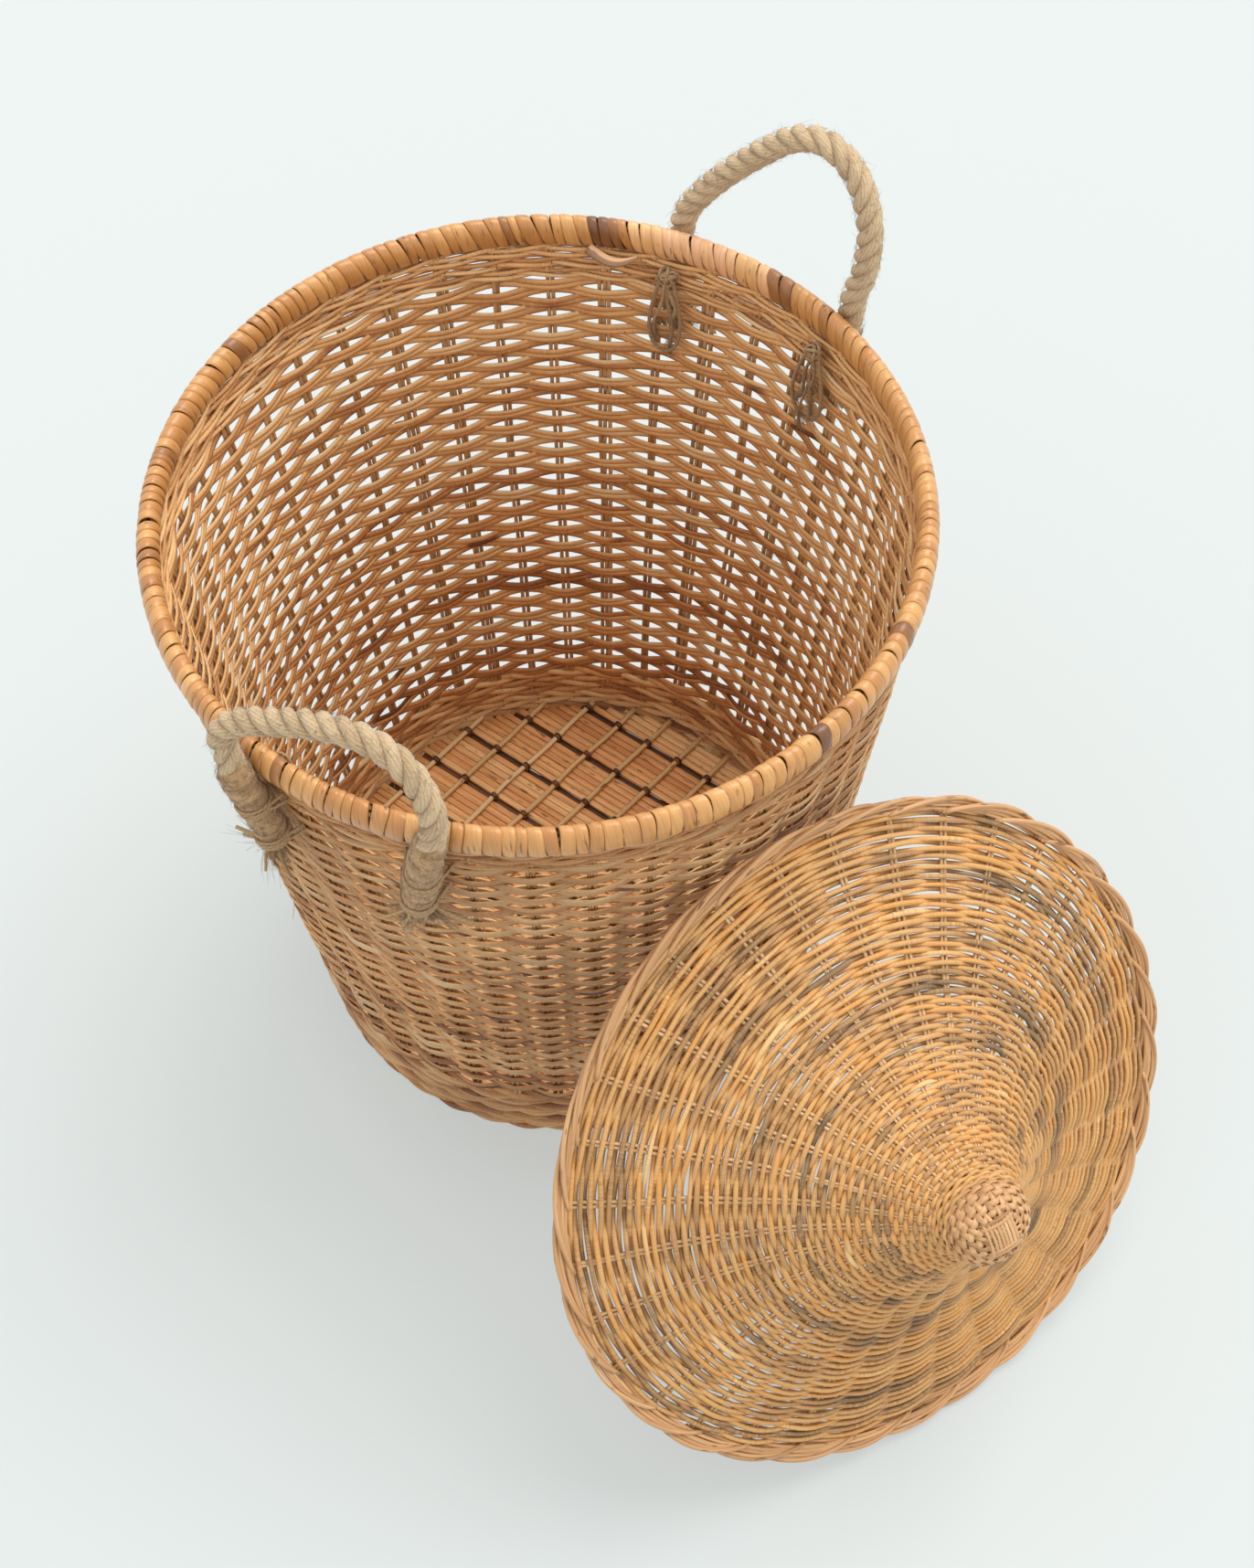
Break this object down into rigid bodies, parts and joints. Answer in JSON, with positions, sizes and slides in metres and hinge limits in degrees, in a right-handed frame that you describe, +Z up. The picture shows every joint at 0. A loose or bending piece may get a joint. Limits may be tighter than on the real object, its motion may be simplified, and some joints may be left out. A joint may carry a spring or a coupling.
{
  "type": "laundry basket",
  "caption": "Round tapered woven cane laundry basket with wrapped rim, slatted floor, two rope handles and a loose conical lid that leans against its side.",
  "frame": {"origin": "on the ground, at the centre of the bounding box of the basket and its leaning lid", "axes": "+Z up along the basket's own axis; the lid leans against the basket's -Y side; +X to the right of the lid seen from the front"},
  "size_m": [0.4902, 0.6698, 0.554],
  "materials": {
    "rim_peel": "smooth cane peel, satin",
    "hoop_cane": "round cane, matt",
    "slat_cane": "split cane, satin",
    "round_cane": "peeled round cane, satin",
    "wall_cane": "woven split cane, satin, streaked",
    "lid_cane": "woven thin round cane, satin, banded",
    "jute_rope": "laid jute fibre, hairy, matt",
    "jute_twine": "jute twine, frayed, matt"
  },
  "bodies": {
    "basket": {"back_handle_knot_1": "jute_twine", "back_handle_knot_2": "jute_twine", "back_handle_lashing_1a": "jute_twine", "back_handle_lashing_1b": "jute_twine", "back_handle_lashing_2a": "jute_twine", "back_handle_lashing_2b": "jute_twine", "back_handle_leg_1": "jute_rope", "back_handle_leg_2": "jute_rope", "base_waling": "wall_cane", "floor_bearer_1": "round_cane", "floor_bearer_2": "round_cane", "floor_bearer_3": "round_cane", "floor_rod_1": "round_cane", "floor_rod_10": "round_cane", "floor_rod_11": "round_cane", "floor_rod_12": "round_cane", "floor_rod_2": "round_cane", "floor_rod_3": "round_cane", "floor_rod_4": "round_cane", "floor_rod_5": "round_cane", "floor_rod_6": "round_cane", "floor_rod_7": "round_cane", "floor_rod_8": "round_cane", "floor_rod_9": "round_cane", "floor_slats_1": "slat_cane", "floor_slats_10": "slat_cane", "floor_slats_2": "slat_cane", "floor_slats_3": "slat_cane", "floor_slats_4": "slat_cane", "floor_slats_5": "slat_cane", "floor_slats_6": "slat_cane", "floor_slats_7": "slat_cane", "floor_slats_8": "slat_cane", "floor_slats_9": "slat_cane", "front_handle_knot_1": "jute_twine", "front_handle_knot_2": "jute_twine", "front_handle_lashing_1a": "jute_twine", "front_handle_lashing_1b": "jute_twine", "front_handle_lashing_2a": "jute_twine", "front_handle_lashing_2b": "jute_twine", "front_handle_leg_1": "jute_rope", "front_handle_leg_2": "jute_rope", "rim_hoop_inner": "hoop_cane", "rim_hoop_outer": "hoop_cane", "rim_wrap_1": "rim_peel", "rim_wrap_2": "rim_peel", "rim_wrap_3": "rim_peel", "rim_wrap_4": "rim_peel", "top_waling": "wall_cane", "wall_weave": "wall_cane"},
    "lid": {"lid_border": "lid_cane", "lid_knob": "lid_cane", "lid_knob_patch": "lid_cane", "lid_weave": "lid_cane"},
    "back_handle": {"back_handle_loop": "jute_rope"},
    "front_handle": {"front_handle_loop": "jute_rope"}
  },
  "joints": [
    {"name": "lid_lift", "type": "slide", "parent": "basket", "child": "lid", "axis": [0, -0.866, 0.5], "range_m": [0, 0.25]},
    {"name": "back_handle_flex", "type": "hinge", "parent": "basket", "child": "back_handle", "pos_m": [0.20771, 0.18353, 0.446], "axis": [-0.3231, 0.9464, 0], "range_deg": [-35, 50]},
    {"name": "front_handle_flex", "type": "hinge", "parent": "basket", "child": "front_handle", "pos_m": [-0.20967, 0.00695, 0.446], "axis": [0.454, -0.891, 0], "range_deg": [-25, 60]}
  ]
}
